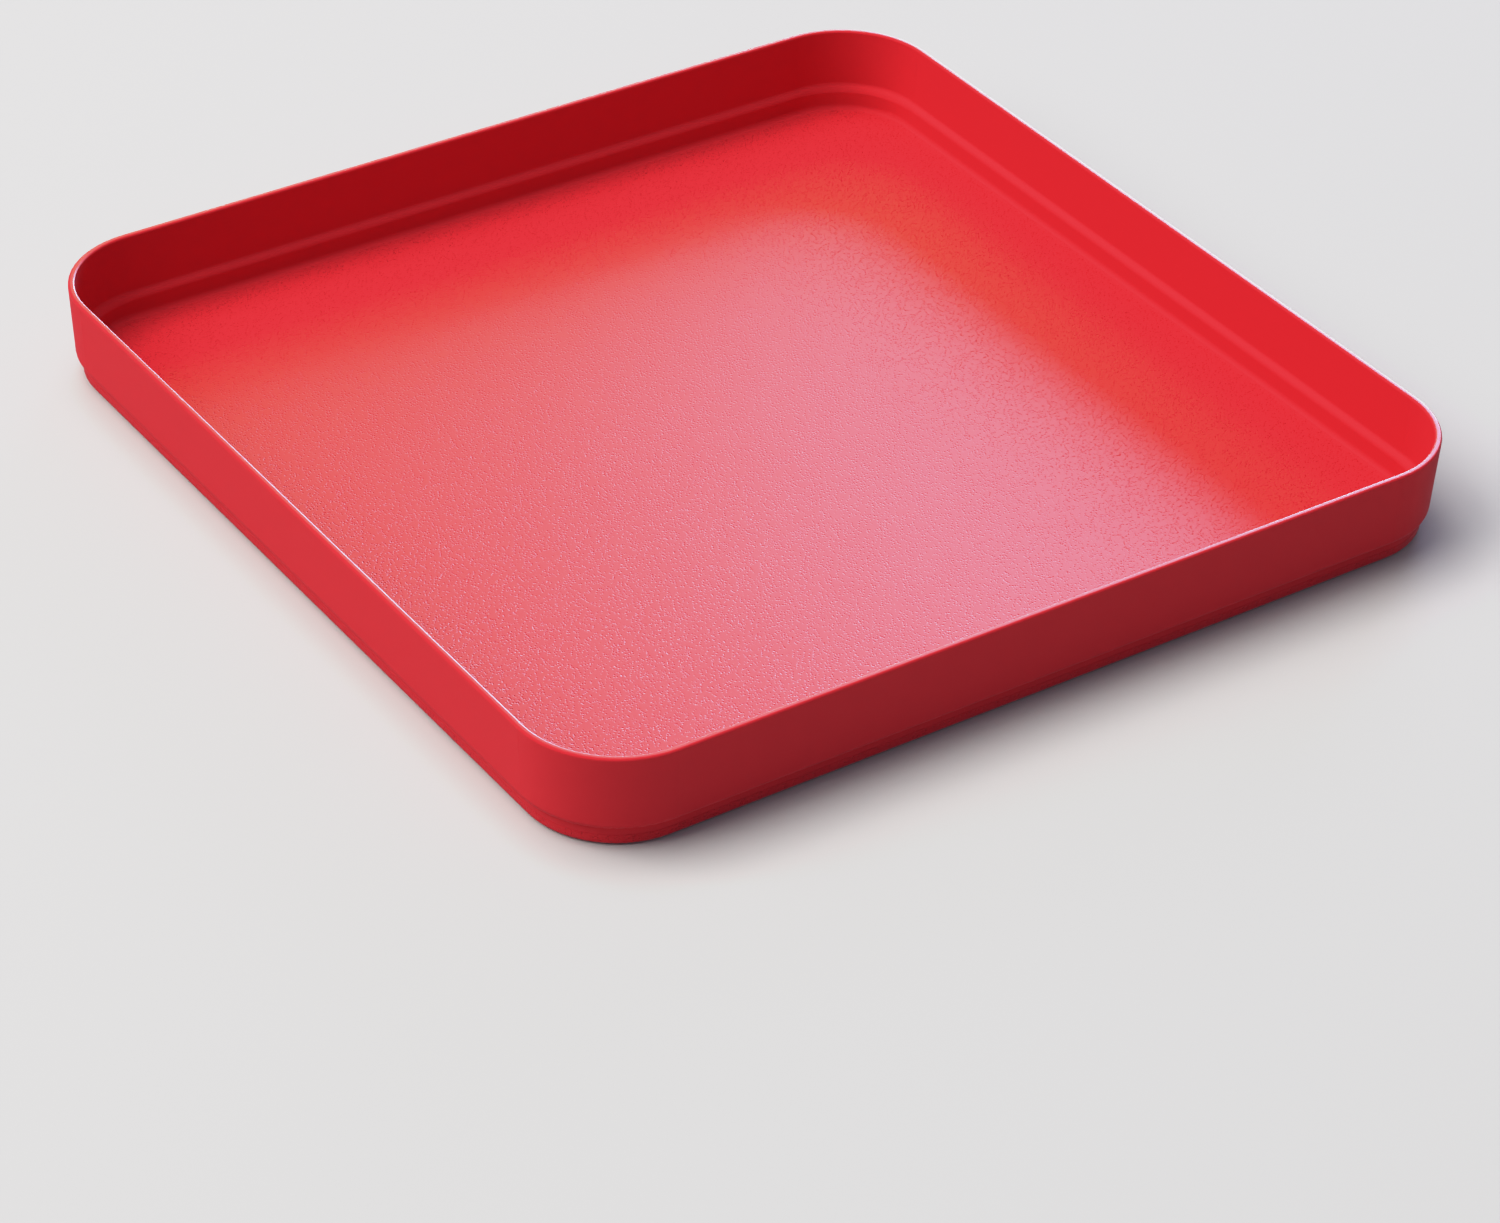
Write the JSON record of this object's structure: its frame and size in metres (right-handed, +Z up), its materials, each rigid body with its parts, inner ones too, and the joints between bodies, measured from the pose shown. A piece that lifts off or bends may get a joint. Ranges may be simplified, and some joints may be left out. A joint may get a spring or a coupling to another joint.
{
  "type": "jigsaw puzzle sorting tray",
  "caption": "Shallow square tray with rounded corners, a thin leaning wall, a ledge inside and a stepped foot that nests in the rim of a like tray.",
  "frame": {"origin": "centre of the flat underside", "axes": "+Z up through the open top, +X and +Y square to the sides"},
  "size_m": [0.205, 0.205, 0.0203],
  "materials": {
    "red_plastic": "satin"
  },
  "bodies": {
    "root": {"sorting_tray": "red_plastic"}
  },
  "joints": []
}
